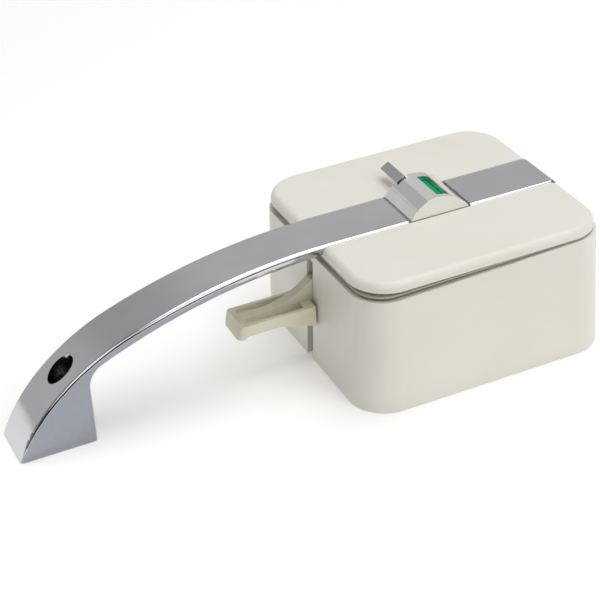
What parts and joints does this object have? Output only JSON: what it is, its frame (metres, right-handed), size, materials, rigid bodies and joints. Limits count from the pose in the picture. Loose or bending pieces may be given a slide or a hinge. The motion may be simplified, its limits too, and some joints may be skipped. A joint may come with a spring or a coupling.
{
  "type": "surface-mounted lock handle",
  "caption": "Bow pull on a latch case, with a finger trigger that draws the bolt and a thumb snib with a coloured indicator.",
  "frame": {"origin": "centre of the case's back, in the mounting plane", "axes": "+Z out of the door, +X along the handle towards the latch bolt, with the bow's foot at -X; the thumb lever stands out towards +Y"},
  "size_m": [0.2061, 0.0868, 0.0545],
  "materials": {
    "case_abs": "injection-moulded cream ABS, semi-gloss",
    "chrome": "polished zinc casting, chrome plated",
    "trigger_nylon": "moulded nylon, satin",
    "seal": "soft moulded seal, matt",
    "brass": "turned and knurled",
    "zinc_steel": "bright zinc-plated pressing",
    "screw_steel": "zinc plated",
    "ground_steel": "ground",
    "spring_steel": "drawn spring wire and strip",
    "acetal": "natural acetal",
    "drum_plastic": "moulded black acetal",
    "green_paint": "printed film, gloss",
    "red_paint": "printed film, gloss",
    "window": "clear polycarbonate",
    "bolt_metal": "zinc casting, satin nickel plated"
  },
  "bodies": {
    "case": {"axle_clips": "ground_steel", "base_case": "case_abs", "bolt_guide": "acetal", "bow_handle": "chrome", "bridge_screws": "screw_steel", "case_inserts": "brass", "chassis_plate": "zinc_steel", "chassis_screws": "screw_steel", "column_screws": "screw_steel", "cover_screws": "screw_steel", "detent_screw": "screw_steel", "detent_spring": "spring_steel", "guide_screws": "screw_steel", "handle_screws": "screw_steel", "hood_screws": "screw_steel", "hood_window": "window", "lifter_column": "acetal", "seam_gasket": "seal", "slide_bridge": "zinc_steel", "snib_axle": "ground_steel", "snib_hood": "chrome", "top_cover": "case_abs", "trigger_axle": "ground_steel", "trigger_spring": "spring_steel"},
    "trigger": {"trigger_lever": "trigger_nylon", "trigger_leg_pin": "ground_steel"},
    "latch": {"latch_slide": "zinc_steel", "latch_bolt": "bolt_metal", "bolt_rivets": "screw_steel", "clutch_guide": "acetal", "clutch_rivets": "screw_steel", "latch_spring": "spring_steel"},
    "clutch": {"clutch_dog": "bolt_metal", "clutch_pin": "ground_steel"},
    "snib": {"indicator_drum": "drum_plastic", "green_label": "green_paint", "red_label": "red_paint", "thumb_lever": "chrome"},
    "lifter": {"lifter_plate": "zinc_steel"}
  },
  "joints": [
    {"name": "trigger_lift", "type": "hinge", "parent": "case", "child": "trigger", "pos_m": [-0.022, 0, 0.029], "axis": [0, 1, 0], "range_deg": [0, 15], "deforming": ["trigger_spring"]},
    {"name": "latch_retract", "type": "slide", "parent": "case", "child": "latch", "axis": [-1, 0, 0], "range_m": [0, 0.006], "stiffness_N_per_m": 250, "springref_m": -0.006, "deforming": ["latch_spring"]},
    {"name": "snib_turn", "type": "hinge", "parent": "case", "child": "snib", "pos_m": [-0.002, 0, 0.0404], "axis": [0, 1, 0], "range_deg": [0, 34]},
    {"name": "lifter_rise", "type": "slide", "parent": "case", "child": "lifter", "axis": [0, 0, 1], "range_m": [0, 0.0044]},
    {"name": "clutch_rise", "type": "slide", "parent": "latch", "child": "clutch", "axis": [0, 0, 1], "range_m": [0, 0.0044]}
  ],
  "couplings": [
    {"joint": "trigger_lift", "follows": "latch_retract", "rad_per_m": 43.633},
    {"joint": "snib_turn", "follows": "lifter_rise", "rad_per_m": 134.87},
    {"joint": "clutch_rise", "follows": "lifter_rise", "ratio": 1}
  ]
}
